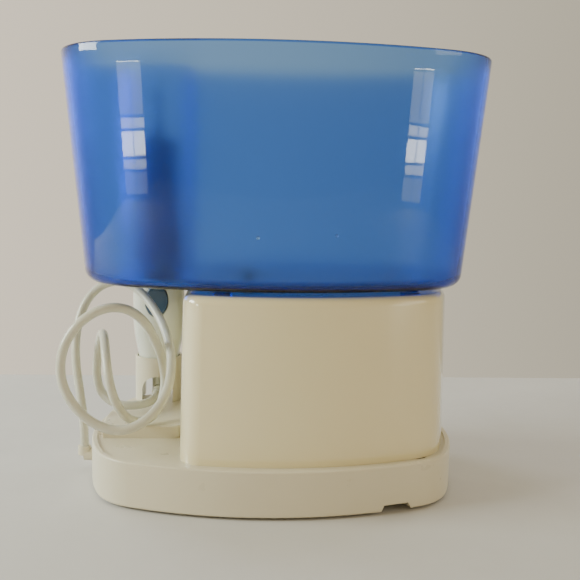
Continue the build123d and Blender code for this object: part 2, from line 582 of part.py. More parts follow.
with BuildPart() as drive_gear:
    teeth(GEAR_X, GEAR_Z, GEAR_TEETH, 20.7, 22.7, 2.6, 6.2, 3.05, phase=MESH_ANGLE)
    with BuildSketch(facing_back(2.6)):
        with Locations((GEAR_X, GEAR_Z)):
            with PolarLocations(13.4, 6, start_angle=30):
                Circle(3.6)
    extrude(amount=6.2, mode=Mode.SUBTRACT)
    disc(facing_back(-3.6), GEAR_X, GEAR_Z, 6.0, 1.0)
    disc(facing_back(-3.6), GEAR_X + CRANK_THROW, GEAR_Z, 2.4, 4.2)
    disc(facing_back(3.0), GEAR_X, GEAR_Z, 3.05, 8.0, Mode.SUBTRACT)
save("drive_gear", drive_gear)

with BuildPart() as gear_axle:
    disc(facing_back(FRAME_FRONT), GEAR_X, GEAR_Z, 3.0, FRAME_FRONT + 4.4)
    disc(facing_back(-4.4), GEAR_X, GEAR_Z, 2.2, 1.2)
save("gear_axle", gear_axle)

# Slider crank at dead centre: the rod's big end stands clear of the crank pin's end
WRIST_X = GEAR_X + CRANK_THROW - ROD_LENGTH
with BuildPart() as connecting_rod:
    disc(facing_back(PISTON_Y + 1.9), GEAR_X + CRANK_THROW, GEAR_Z, 5.0, 3.8)
    disc(facing_back(PISTON_Y + 1.9), WRIST_X, GEAR_Z, 3.4, 3.8)
    block(facing_back(PISTON_Y + 1.9), WRIST_X + ROD_LENGTH / 2, GEAR_Z, ROD_LENGTH - 4, 4.4, 3.8)
    disc(facing_back(PISTON_Y + 1.9), GEAR_X + CRANK_THROW, GEAR_Z, 2.45, 3.8, Mode.SUBTRACT)
    disc(facing_back(PISTON_Y + 1.9), WRIST_X, GEAR_Z, 1.55, 3.8, Mode.SUBTRACT)
save("connecting_rod", connecting_rod)

with BuildPart() as piston:
    disc(facing_right(WRIST_X - 20), PISTON_Y, GEAR_Z, PISTON_RADIUS, 12)
    block(facing_right(WRIST_X - 8), PISTON_Y, GEAR_Z, 8.8, 7.6, 12.0)
    block(facing_right(WRIST_X - 5), PISTON_Y, GEAR_Z, 4.4, 7.6, 10.0, Mode.SUBTRACT)
    disc(facing_right(WRIST_X - 17), PISTON_Y, GEAR_Z, PISTON_RADIUS + 1, 2.4, Mode.SUBTRACT)
    disc(facing_right(WRIST_X - 17), PISTON_Y, GEAR_Z, 5.4, 2.4)
    disc(facing_back(PISTON_Y + 4.4), WRIST_X, GEAR_Z, 1.5, 8.8)
save("piston", piston)

with BuildPart() as piston_seal:
    disc(facing_right(WRIST_X - 16.8), PISTON_Y, GEAR_Z, 6.98, 2.0)
    disc(facing_right(WRIST_X - 16.8), PISTON_Y, GEAR_Z, 5.45, 2.0, Mode.SUBTRACT)
save("piston_seal", piston_seal)

CYLINDER_LEFT = WRIST_X - 34
with BuildPart() as pump_cylinder:
    disc(facing_right(CYLINDER_LEFT), PISTON_Y, GEAR_Z, 10.0, 24)
    disc(facing_right(CYLINDER_LEFT), PISTON_Y, GEAR_Z, 7.03, 24, Mode.SUBTRACT)
save("pump_cylinder", pump_cylinder)

HEAD_LEFT = CYLINDER_LEFT - 9
HEAD_X = CYLINDER_LEFT - 4.6
HEAD_FRONT = PISTON_Y + 10
with BuildPart() as pump_head:
    block(facing_right(HEAD_LEFT), PISTON_Y, GEAR_Z, 20, 22, 9.0, corner=3)
    disc(level(GEAR_Z - 13.6), HEAD_X, PISTON_Y, NIPPLE_RADIUS, 27.2)
    disc(level(GEAR_Z - 13.6), HEAD_X, PISTON_Y, 1.5, 27.2, Mode.SUBTRACT)
    for z in BYPASS_Z:
        disc(facing_back(HEAD_FRONT + 4), HEAD_X, z, NIPPLE_RADIUS, 6.0)
        disc(facing_back(HEAD_FRONT + 4), HEAD_X, z, 1.5, 14.0, Mode.SUBTRACT)
    for z in (GEAR_Z - 8, GEAR_Z + 3):
        disc(level(z), HEAD_X, PISTON_Y, 2.9, 5.0, Mode.SUBTRACT)
    disc(facing_right(HEAD_X), PISTON_Y, GEAR_Z, 1.5, 5.0, Mode.SUBTRACT)
save("pump_head", pump_head)

with BuildPart() as check_balls:
    for z in (GEAR_Z - 4.8, GEAR_Z + 6.0):
        with BuildSketch(Plane(origin=(HEAD_X, PISTON_Y, z), x_dir=(1, 0, 0), z_dir=(0, -1, 0))):
            Circle(2.2)
            with Locations((-2.5, 0)):
                Rectangle(5.0, 5.0, mode=Mode.SUBTRACT)
        revolve(axis=Axis((HEAD_X, PISTON_Y, z), (0, 0, 1)))
save("check_balls", check_balls)


def tube(points, radius, outer, bore, start_plane):
    """A tube along straight runs joined by arcs, cut square at both ends."""
    with BuildLine() as path:
        FilletPolyline(*points, radius=radius)
    with BuildSketch(start_plane) as section:
        Circle(outer)
        Circle(bore, mode=Mode.SUBTRACT)
    sweep(section.sketch, path=path.line)


with BuildPart() as inlet_tube:
    head_top = (HEAD_X, PISTON_Y, GEAR_Z + 11.2)
    route = [head_top, (HEAD_X, PISTON_Y, 79.4), (SOCKET_X, 0, 79.8), (SOCKET_X, 0, 89.8)]
    tube(route, 5.6, TUBE_RADIUS, TUBE_BORE, Plane(origin=head_top))
save("inlet_tube", inlet_tube)

with BuildPart() as outlet_tube:
    head_foot = (HEAD_X, PISTON_Y, GEAR_Z - 11.2)
    route = [head_foot, (HEAD_X, PISTON_Y, 9.0), (-62, OUTLET_Y, OUTLET_Z), (-90.4, OUTLET_Y, OUTLET_Z)]
    tube(route, 9.0, TUBE_RADIUS, TUBE_BORE, Plane(origin=head_foot, x_dir=(1, 0, 0), z_dir=(0, 0, -1)))
save("outlet_tube", outlet_tube)

with BuildPart() as bypass_tubes:
    for z in BYPASS_Z:
        head_side = (HEAD_X, HEAD_FRONT + 0.2, z)
        route = [head_side, (HEAD_X, VALVE_Y, z), (DIAL_X - 10.2, VALVE_Y, z)]
        tube(route, 9.0, TUBE_RADIUS, TUBE_BORE, Plane(origin=head_side, x_dir=(1, 0, 0), z_dir=(0, 1, 0)))
save("bypass_tubes", bypass_tubes)

with BuildPart() as rectifier_board:
    block(level(FRAME_TOP + 4), -14, 16, 20, 26, 1.6)
    for y in (8, 16, 24):
        block(level(FRAME_TOP + 5.6), -18, y, 5.0, 4.4, 4.0)
    disc(level(FRAME_TOP + 5.6), -9, 16, 4.0, 11.0)
save("rectifier_board", rectifier_board)

# Hose: free between the outlet elbow and the handle's connector
HOSE_ROUTE = [
    (-99.5, 2, 13), (-99.5, 2, 26), (-102, 5, 41), (-105, 9, 56.5), (-105.5, 14, 72),
    (-102.5, 19.5, 86), (-94.5, 22.5, 96), (-84, 20.5, 99.5), (-74, 15.5, 97), (-64.5, 7, 89),
    (-56, -5, 78), (-51, -19.5, 65.5), (-52, -32, 51.5), (-60, -39, 40), (-73, -42.5, 34),
    (-86.5, -42.5, 38), (-97, -42, 48), (-102.5, -41, 61), (-101, -40, 75.5), (-93, -38.5, 87.5),
    (-81.5, -36, 94), (-70.5, -32, 92.5), (-63, -25.5, 84), (-59.5, -16, 73), (-57.5, -6, 62),
    (-56.2, -0.5, 50), (-58, -3.5, 37.5), (-63.5, -12.5, 31), (-72, -21.5, 33), (-78.5, -25.5, 43),
    (-82, -24.5, 54.5), (-84.5, -17.5, 65.5), (-86.5, -8.8, 72.5), (-88.7, 0.2, 74.5), (-91.3, 9, 71.9),
    (-93.5, 15, 65), (-95, 16.8, 56), (-95, 14.5, 47.8), (-92.6, 10.8, 41), (-88.6, 8.2, 37),
    (-83.2, 6.1, 34.5), (-77.3, 5.4, 33.8), (-71.5, 7.4, 33.7), (-67, 11.7, 33.8), (-64.8, 17.5, 34.1),
    (-64, 24.7, 34.5), (-64, 32, 34.5),
]


def route_radii(points):
    """For each corner of the route, 0.45 of its shorter run over the tangent of half its turn."""
    runs = [Vector(*b) - Vector(*a) for a, b in zip(points, points[1:])]
    radii = []
    for before, after in zip(runs, runs[1:]):
        shorter = min(before.length, after.length)
        radii.append(0.45 * shorter / tan(radians(before.get_angle(after)) / 2))
    return radii


with BuildPart() as hose:
    hose_radii = route_radii(HOSE_ROUTE)
    print("hose radii", [round(r, 1) for r in hose_radii])
    with BuildLine() as hose_line:
        FilletPolyline(*HOSE_ROUTE, radius=hose_radii)
    with BuildSketch(Plane(origin=HOSE_ROUTE[0], z_dir=hose_line.line % 0)):
        Circle(HOSE_DIAMETER / 2)
    sweep()
hose_length = hose_line.wires()[0].length
print("hose length", round(hose_length, 1), "volume", round(hose.part.volume))
print("section times length", round(hose_length * pi * HOSE_DIAMETER**2 / 4))
save("hose", hose)
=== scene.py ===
import json
import math

import bmesh
import bpy
from mathutils import Matrix, Vector


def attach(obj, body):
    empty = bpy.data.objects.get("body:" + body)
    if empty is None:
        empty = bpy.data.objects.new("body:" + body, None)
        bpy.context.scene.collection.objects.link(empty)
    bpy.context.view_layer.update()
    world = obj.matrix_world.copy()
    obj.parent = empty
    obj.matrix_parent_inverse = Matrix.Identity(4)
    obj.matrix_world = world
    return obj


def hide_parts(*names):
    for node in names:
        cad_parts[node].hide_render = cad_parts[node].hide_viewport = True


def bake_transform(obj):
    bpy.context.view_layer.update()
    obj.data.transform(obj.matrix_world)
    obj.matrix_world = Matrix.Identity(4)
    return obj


# A countertop water flosser seen from behind: clear blue tank, gloss housing, satin base, corded handle.
# Everything is in metres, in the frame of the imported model.

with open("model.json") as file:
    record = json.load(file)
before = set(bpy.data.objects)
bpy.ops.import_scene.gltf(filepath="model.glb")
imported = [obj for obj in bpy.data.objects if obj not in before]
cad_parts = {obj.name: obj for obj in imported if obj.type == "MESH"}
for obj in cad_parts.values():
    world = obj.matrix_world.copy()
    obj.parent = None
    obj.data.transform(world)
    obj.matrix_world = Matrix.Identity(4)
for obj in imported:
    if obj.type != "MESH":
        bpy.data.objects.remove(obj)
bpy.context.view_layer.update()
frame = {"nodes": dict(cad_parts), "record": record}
MM = 0.001

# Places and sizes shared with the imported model
HANDLE = Vector((-64.0, 41.0, 0.0)) * MM
SOCKET = Vector((-14.0, 0.0, 0.0)) * MM
CHANNEL_RADIUS = 17.5 * MM
TANK_FOOT, TANK_BOTTOM, TANK_TOP = 102.3 * MM, 104.0 * MM, 215.0 * MM
TANK_WALL, TANK_FLOOR = 2.2 * MM, 2.4 * MM
OVAL_SWEEP = math.radians(22)
HOSE_DIAMETER = 4.6 * MM


# ---------------------------------------------------------------- materials
def new_material(name):
    """A node material with one Principled shader; returns the material, its node tree and the shader."""
    mat = bpy.data.materials.new(name)
    mat.use_nodes = True
    tree = mat.node_tree
    shader = next(n for n in tree.nodes if n.type == "BSDF_PRINCIPLED")
    return mat, tree, shader


def noise(tree, scale, detail=3.0, roughness=0.55, stretch=(1, 1, 1)):
    """A noise texture in object space, stretched along the axes if asked."""
    coords = tree.nodes.new("ShaderNodeTexCoord")
    mapping = tree.nodes.new("ShaderNodeMapping")
    mapping.inputs["Scale"].default_value = stretch
    tex = tree.nodes.new("ShaderNodeTexNoise")
    tex.inputs["Scale"].default_value = scale
    tex.inputs["Detail"].default_value = detail
    tex.inputs["Roughness"].default_value = roughness
    tree.links.new(coords.outputs["Object"], mapping.inputs["Vector"])
    tree.links.new(mapping.outputs["Vector"], tex.inputs["Vector"])
    return tex.outputs["Fac"]


def ramp(tree, value, stops):
    """A colour ramp over a value; stops are (position, colour)."""
    node = tree.nodes.new("ShaderNodeValToRGB")
    elements = node.color_ramp.elements
    for i, (place, colour) in enumerate(stops):
        element = elements[i] if i < 2 else elements.new(place)
        element.position = place
        element.color = (*colour, 1)
    tree.links.new(value, node.inputs["Fac"])
    return node.outputs["Color"]


def spread(tree, value, low, high):
    """Maps a noise value of about 0.3 to 0.7 onto low to high."""
    node = tree.nodes.new("ShaderNodeMapRange")
    node.inputs["From Min"].default_value = 0.3
    node.inputs["From Max"].default_value = 0.7
    node.inputs["To Min"].default_value = low
    node.inputs["To Max"].default_value = high
    tree.links.new(value, node.inputs["Value"])
    return node.outputs["Result"]


def bump(tree, shader, height, strength, distance):
    """Adds a bump from a height value."""
    node = tree.nodes.new("ShaderNodeBump")
    node.inputs["Strength"].default_value = strength
    node.inputs["Distance"].default_value = distance
    tree.links.new(height, node.inputs["Height"])
    tree.links.new(node.outputs["Normal"], shader.inputs["Normal"])


def plastic(name, colour, roughness, grain, grain_depth, shade=0.04, coat=0.0, subsurface=0.0):
    """Moulded plastic: slight colour drift, uneven gloss and a fine surface grain."""
    mat, tree, shader = new_material(name)
    drift = noise(tree, 18.0, 4.0)
    dark = tuple(c * (1 - shade) for c in colour)
    light = tuple(min(1.0, c * (1 + shade * 0.5)) for c in colour)
    tree.links.new(ramp(tree, drift, [(0.3, dark), (0.7, light)]), shader.inputs["Base Color"])
    smudge = noise(tree, 46.0, 5.0, 0.6)
    tree.links.new(spread(tree, smudge, roughness * 0.8, roughness * 1.25), shader.inputs["Roughness"])
    bump(tree, shader, noise(tree, grain, 2.0), 0.35, grain_depth)
    shader.inputs["Coat Weight"].default_value = coat
    shader.inputs["Coat Roughness"].default_value = 0.04
    shader.inputs["Subsurface Weight"].default_value = subsurface
    shader.inputs["Subsurface Radius"].default_value = (1.0, 0.8, 0.6)
    shader.inputs["Subsurface Scale"].default_value = 0.0015
    return mat


def clear_blue(name, outer_roughness, inner_roughness):
    """Tinted clear plastic, polished outside and frosted inside.
    Its colour comes from the depth of plastic that the light crosses."""
    mat, tree, shader = new_material(name)
    shader.inputs["Base Color"].default_value = (0.97, 0.985, 1.0, 1)
    shader.inputs["Transmission Weight"].default_value = 1.0
    shader.inputs["IOR"].default_value = 1.46
    side = tree.nodes.new("ShaderNodeAttribute")
    side.attribute_name = "frosted"
    rough = tree.nodes.new("ShaderNodeMapRange")
    rough.inputs["To Min"].default_value = outer_roughness
    rough.inputs["To Max"].default_value = inner_roughness
    tree.links.new(side.outputs["Fac"], rough.inputs["Value"])
    tree.links.new(rough.outputs["Result"], shader.inputs["Roughness"])
    bump(tree, shader, noise(tree, 26.0, 2.0, 0.4), 0.10, 0.0006)
    depth = tree.nodes.new("ShaderNodeVolumeAbsorption")
    depth.inputs["Color"].default_value = (0.15, 0.56, 0.93, 1)
    depth.inputs["Density"].default_value = 800.0
    output = next(n for n in tree.nodes if n.type == "OUTPUT_MATERIAL")
    tree.links.new(depth.outputs["Volume"], output.inputs["Volume"])
    return mat


def metal(name, colour, roughness, stretch=(1, 1, 1)):
    """Bare or plated metal with fine brushing."""
    mat, tree, shader = new_material(name)
    shader.inputs["Metallic"].default_value = 1.0
    brushed = noise(tree, 320.0, 3.0, 0.6, stretch)
    dark = tuple(c * 0.82 for c in colour)
    tree.links.new(ramp(tree, brushed, [(0.3, dark), (0.7, colour)]), shader.inputs["Base Color"])
    tree.links.new(spread(tree, brushed, roughness * 0.75, roughness * 1.3), shader.inputs["Roughness"])
    bump(tree, shader, brushed, 0.2, 0.00004)
    return mat


def rubber(name, colour, roughness, subsurface=0.0, grain=900.0):
    """Rubber or soft vinyl: low gloss with a fine skin."""
    mat, tree, shader = new_material(name)
    drift = noise(tree, 60.0, 4.0)
    dark = tuple(c * 0.9 for c in colour)
    tree.links.new(ramp(tree, drift, [(0.3, dark), (0.7, colour)]), shader.inputs["Base Color"])
    tree.links.new(spread(tree, drift, roughness * 0.85, roughness * 1.2), shader.inputs["Roughness"])
    bump(tree, shader, noise(tree, grain, 2.0), 0.25, 0.00005)
    shader.inputs["Subsurface Weight"].default_value = subsurface
    shader.inputs["Subsurface Radius"].default_value = (1.0, 0.9, 0.75)
    shader.inputs["Subsurface Scale"].default_value = 0.002
    return mat


MATERIALS = {
    "base_plastic": plastic("base_satin", (0.66, 0.612, 0.475), 0.32, 700.0, 0.00006, subsurface=0.1),
    "body_plastic": plastic("body_gloss", (0.765, 0.69, 0.45), 0.14, 60.0, 0.00012, 0.02, 1.0, 0.1),
    "handle_plastic": plastic("handle_gloss", (0.71, 0.735, 0.655), 0.18, 80.0, 0.0001, 0.02, 0.8, 0.1),
    "button_blue": plastic("button_blue", (0.03, 0.075, 0.15), 0.3, 500.0, 0.00005, 0.08, 0.3),
    "hose_vinyl": rubber("hose_vinyl", (0.61, 0.605, 0.52), 0.24, 0.3, 260.0),
    "rubber_grey": rubber("rubber_dark", (0.03, 0.03, 0.033), 0.7),
    "tubing": rubber("tubing_silicone", (0.62, 0.64, 0.64), 0.35, 0.4),
    "control_grey": plastic("control_grey", (0.10, 0.155, 0.22), 0.36, 600.0, 0.00006, 0.06),
    "nylon": plastic("nylon", (0.70, 0.69, 0.62), 0.42, 420.0, 0.00005, 0.05, 0.0, 0.2),
    "frame_plastic": plastic("frame_black", (0.035, 0.037, 0.042), 0.5, 520.0, 0.0001, 0.1),
    "steel": metal("steel", (0.60, 0.60, 0.61), 0.28),
    "motor_can": metal("motor_zinc", (0.52, 0.53, 0.55), 0.34, (1, 6, 1)),
    "pinion_brass": metal("pinion_brass", (0.62, 0.43, 0.16), 0.25),
    "board_green": plastic("board_green", (0.02, 0.14, 0.06), 0.3, 300.0, 0.00005, 0.15, 0.4),
    "tip_white": plastic("tip_white", (0.86, 0.86, 0.84), 0.2, 120.0, 0.00005, 0.02, 0.5, 0.2),
    "tip_blue": plastic("tip_blue", (0.02, 0.12, 0.50), 0.25, 200.0, 0.00005, 0.05, 0.5),
}
TANK_BLUE = clear_blue("tank_blue", 0.025, 0.30)


# ---------------------------------------------------------------- mesh helpers
def make_object(name, bm, materials, angle=35.0):
    """Turns a bmesh into a smooth-shaded object whose edges over the angle stay crisp."""
    bmesh.ops.recalc_face_normals(bm, faces=bm.faces)
    mesh = bpy.data.meshes.new(name)
    bm.to_mesh(mesh)
    bm.free()
    for mat in materials:
        mesh.materials.append(mat)
    mesh.shade_smooth()
    mesh.set_sharp_from_angle(angle=math.radians(angle))
    piece = bpy.data.objects.new(name, mesh)
    bpy.context.scene.collection.objects.link(piece)
    return piece


def add_ring(bm, points):
    """Adds one closed ring of vertices."""
    return [bm.verts.new(p) for p in points]


def bridge(bm, ring_a, ring_b):
    """Joins two rings of equal count with quads and returns them."""
    count = len(ring_a)
    made = []
    for i in range(count):
        j = (i + 1) % count
        made.append(bm.faces.new((ring_a[i], ring_a[j], ring_b[j], ring_b[i])))
    return made


def lathe(bm, centre, profile, count=48, close_ends=False):
    """Revolves (radius, z) points about an upright axis; returns the first and last rings."""
    rings = []
    turn = [2 * math.pi * i / count for i in range(count)]
    for radius, z in profile:
        points = [(centre.x + radius * math.cos(a), centre.y + radius * math.sin(a), z) for a in turn]
        rings.append(add_ring(bm, points))
    for ring_a, ring_b in zip(rings, rings[1:]):
        bridge(bm, ring_a, ring_b)
    if close_ends:
        for ring in (rings[0], rings[-1]):
            bm.faces.new(ring)
    return rings[0], rings[-1]


def fill_between(bm, rings):
    """Fills the flat region bounded by closed rings."""
    edges = []
    for ring in rings:
        for i, vert in enumerate(ring):
            edges.append(bm.edges.get((vert, ring[(i + 1) % len(ring)])))
    bmesh.ops.triangle_fill(bm, use_beauty=True, edges=edges)


# ---------------------------------------------------------------- hose
HOSE_ROUTE = [
    (-99.5, 2, 13), (-99.5, 2, 26), (-102, 5, 41), (-105, 9, 56.5), (-105.5, 14, 72),
    (-102.5, 19.5, 86), (-94.5, 22.5, 96), (-84, 20.5, 99.5), (-74, 15.5, 97), (-64.5, 7, 89),
    (-56, -5, 78), (-51, -19.5, 65.5), (-52, -32, 51.5), (-60, -39, 40), (-73, -42.5, 34),
    (-86.5, -42.5, 38), (-97, -42, 48), (-102.5, -41, 61), (-101, -40, 75.5), (-93, -38.5, 87.5),
    (-81.5, -36, 94), (-70.5, -32, 92.5), (-63, -25.5, 84), (-59.5, -16, 73), (-57.5, -6, 62),
    (-56.2, -0.5, 50), (-58, -3.5, 37.5), (-63.5, -12.5, 31), (-72, -21.5, 33), (-78.5, -25.5, 43),
    (-82, -24.5, 54.5), (-84.5, -17.5, 65.5), (-86.5, -8.8, 72.5), (-88.7, 0.2, 74.5), (-91.3, 9, 71.9),
    (-93.5, 15, 65), (-95, 16.8, 56), (-95, 14.5, 47.8), (-92.6, 10.8, 41), (-88.6, 8.2, 37),
    (-83.2, 6.1, 34.5), (-77.3, 5.4, 33.8), (-71.5, 7.4, 33.7), (-67, 11.7, 33.8), (-64.8, 17.5, 34.1),
    (-64, 24.7, 34.5), (-64, 32, 34.5),
]


def smooth_path(name, route, resolution=10):
    """The points of a NURBS line whose control points are the route, in metres."""
    curve = bpy.data.curves.new(name, "CURVE")
    curve.dimensions = "3D"
    curve.resolution_u = resolution
    spline = curve.splines.new("NURBS")
    spline.points.add(len(route) - 1)
    for point, place in zip(spline.points, route):
        point.co = (*[c * MM for c in place], 1)
    spline.order_u = 3
    spline.use_endpoint_u = True
    holder = bpy.data.objects.new(name, curve)
    mesh = bpy.data.meshes.new_from_object(holder)
    points = [v.co.copy() for v in mesh.vertices]
    bpy.data.objects.remove(holder)
    bpy.data.curves.remove(curve)
    bpy.data.meshes.remove(mesh)
    return points


def tube_along(name, points, radius, count=20):
    """A round tube that follows the points without twisting."""
    bm = bmesh.new()
    rings = []
    side = None
    turn = [2 * math.pi * k / count for k in range(count)]
    for i, point in enumerate(points):
        ahead = points[min(i + 1, len(points) - 1)] - points[max(i - 1, 0)]
        ahead.normalize()
        if side is None:
            side = ahead.orthogonal().normalized()
        else:
            side = (side - ahead * side.dot(ahead)).normalized()
        up = ahead.cross(side)
        ring = [point + (side * math.cos(a) + up * math.sin(a)) * radius for a in turn]
        rings.append(add_ring(bm, ring))
    for ring_a, ring_b in zip(rings, rings[1:]):
        bridge(bm, ring_a, ring_b)
    for ring in (rings[0], rings[-1]):
        bm.faces.new(ring)
    return make_object(name, bm, [MATERIALS["hose_vinyl"]])


hose_path = smooth_path("hose_line", HOSE_ROUTE)
hose = tube_along("vinyl_hose", hose_path, HOSE_DIAMETER / 2)
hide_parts("hose")
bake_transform(hose)


# ---------------------------------------------------------------- tank
def oval_arcs(half_x, half_y, corner):
    """Half of each arc of the eight-arc oval: end radius, side radius and the corner's centre."""
    s, c = math.sin(OVAL_SWEEP), math.cos(OVAL_SWEEP)
    spare_x = half_x - corner * (c - s)
    spare_y = half_y - corner * (c - s)
    share = s * s - (1 - c) ** 2
    side = (spare_x * s - spare_y * (1 - c)) / share
    end = (spare_y * s - spare_x * (1 - c)) / share
    centre_x = half_x - end * (1 - c) - corner * c
    centre_y = end * s - corner * s
    return side, end, centre_x, centre_y


def oval_point(half_x, half_y, corner, angle):
    """The oval's point whose outward normal has this angle."""
    side, end, centre_x, centre_y = oval_arcs(half_x, half_y, corner)
    nx, ny = math.cos(angle), math.sin(angle)
    if abs(ny) < math.sin(OVAL_SWEEP):
        return Vector(((half_x - end) * math.copysign(1, nx) + end * nx, end * ny, 0))
    if abs(nx) < math.sin(OVAL_SWEEP):
        return Vector((side * nx, (half_y - side) * math.copysign(1, ny) + side * ny, 0))
    x = math.copysign(centre_x, nx) + corner * nx
    y = math.copysign(centre_y, ny) + corner * ny
    return Vector((x, y, 0))


def channel_depth(point):
    """Distance from the handle channel's middle line, less the channel's radius."""
    across = point.x - HANDLE.x
    along = min(point.y - HANDLE.y, 0.0)
    return math.hypot(across, along) - CHANNEL_RADIUS


def resample(points, count):
    """The same open line with count points, evenly spaced."""
    lengths = [0.0]
    for a, b in zip(points, points[1:]):
        lengths.append(lengths[-1] + (b - a).length)
    out = []
    j = 0
    for i in range(count):
        want = lengths[-1] * i / (count - 1)
        while j < len(points) - 2 and lengths[j + 1] < want:
            j += 1
        share = (want - lengths[j]) / max(lengths[j + 1] - lengths[j], 1e-12)
        out.append(points[j].lerp(points[j + 1], min(max(share, 0.0), 1.0)))
    return out


# The tank's outline at its foot, and how much wider it is at the rim
FOOT_HALF_X, FOOT_HALF_Y, FOOT_CORNER = 96.0, 58.0, 40.0
FLARE_X, FLARE_Y, FLARE_CORNER = 10.5, 7.0, 5.0
LIP_RADIUS = 3.0 * MM
CHANNEL_INSET = 2.4 * MM

# How finely the tank's outline and its rounds are divided
OVAL_POINTS, TRIM_POINTS, CHANNEL_FINE = 1440, 2000, 200
WALL_POINTS, CHANNEL_POINTS, LIP_POINTS, FADE_POINTS = 220, 56, 9, 14
ROUND_STEPS, RIM_STEPS, WALL_STEPS = 6, 4, 12


def tank_plan(share):
    """The tank's outline at a share of its height: the wall, a lip, the channel and the other lip."""
    half_x = (FOOT_HALF_X + FLARE_X * share) * MM
    half_y = (FOOT_HALF_Y + FLARE_Y * share) * MM
    corner = (FOOT_CORNER + FLARE_CORNER * share) * MM
    start = math.radians(100)
    turns = [start - 2 * math.pi * i / OVAL_POINTS for i in range(OVAL_POINTS)]
    wall = [oval_point(half_x, half_y, corner, turn) for turn in turns]
    wall = [p for p in wall if channel_depth(p) > 0]
    gap = max(range(len(wall)), key=lambda i: (wall[i] - wall[i - 1]).length)
    wall = wall[gap:] + wall[:gap]
    right_lip, left_lip = wall[0], wall[-1]

    def on_channel(place):
        """A point on the channel's wall, by distance from its left tangent."""
        if place < 0:
            return Vector((HANDLE.x - CHANNEL_RADIUS, HANDLE.y - place, 0))
        turn = place / CHANNEL_RADIUS
        if turn > math.pi:
            return Vector((HANDLE.x + CHANNEL_RADIUS, HANDLE.y + place - math.pi * CHANNEL_RADIUS, 0))
        x = HANDLE.x - CHANNEL_RADIUS * math.cos(turn)
        y = HANDLE.y - CHANNEL_RADIUS * math.sin(turn)
        return Vector((x, y, 0))

    def along_channel(point, left):
        """How far round the channel's wall a lip point lies."""
        if point.y >= HANDLE.y:
            rest = point.y - HANDLE.y
            return -rest if left else math.pi * CHANNEL_RADIUS + rest
        return math.atan2(HANDLE.y - point.y, HANDLE.x - point.x) * CHANNEL_RADIUS

    first = along_channel(left_lip, True) + LIP_RADIUS
    last = along_channel(right_lip, False) - LIP_RADIUS
    channel = [on_channel(first + (last - first) * i / (CHANNEL_FINE - 1)) for i in range(CHANNEL_FINE)]
    trimmed = resample(wall, TRIM_POINTS)
    while (trimmed[0] - right_lip).length < LIP_RADIUS:
        trimmed.pop(0)
    while (trimmed[-1] - left_lip).length < LIP_RADIUS:
        trimmed.pop()

    def lip(a, corner_point, b):
        """A small round between the wall and the channel."""
        out = []
        for i in range(1, LIP_POINTS + 1):
            t = i / (LIP_POINTS + 1)
            out.append(a * (1 - t) ** 2 + corner_point * 2 * t * (1 - t) + b * t * t)
        return out

    outline = resample(trimmed, WALL_POINTS)
    outline += lip(trimmed[-1], left_lip, channel[0])
    outline += resample(channel, CHANNEL_POINTS)
    outline += lip(channel[-1], right_lip, trimmed[0])
    return outline


def inward(outline):
    """Unit directions into the tank at each point of its outline."""
    out = []
    count = len(outline)
    for i in range(count):
        along = outline[(i + 1) % count] - outline[i - 1]
        out.append(Vector((along.y, -along.x, 0)).normalized())
    return out


def tank_ring(bm, z, inset):
    """One ring of the tank's wall at height z, inset from the outer face.
    The inset is held back along the channel and fades in on the wall beside it."""
    share = (z - TANK_BOTTOM) / (TANK_TOP - TANK_BOTTOM)
    outline = tank_plan(min(max(share, 0.0), 1.0))
    held = min(inset, CHANNEL_INSET)
    points = []
    for i, (point, direction) in enumerate(zip(outline, inward(outline))):
        fade = min(max(min(i, WALL_POINTS - 1 - i) / FADE_POINTS, 0.0), 1.0)
        place = point + direction * (inset * fade + held * (1 - fade))
        points.append((place.x, place.y, z))
    return add_ring(bm, points)


# The spigot under the tank as (radius, z), its feet as (x, y) and its two moulding marks, in mm
SPIGOT = [
    (9.0, 104.0), (9.0, 99.8), (10.6, 99.8), (10.6, 99.0), (9.0, 99.0), (9.0, 94.6), (8.4, 94.0),
    (4.0, 94.0), (4.0, 95.6), (6.0, 95.6), (6.0, 106.4),
]
TANK_FEET = [(-26, -34), (66, -28), (-26, 34), (66, 28)]
FOOT_PROFILE = [
    (4.4 * MM, TANK_FOOT), (5.0 * MM, TANK_FOOT + 0.6 * MM), (5.0 * MM, TANK_BOTTOM - 0.02 * MM),
]
GATE_MARKS = [(-9.7, -59.7, 129.6), (25.6, -59.0, 131.0)]
GATE_RADIUS = 0.8 * MM


def quarter(step, steps):
    """The angle after a number of equal steps of a quarter turn."""
    return math.pi / 2 * step / steps


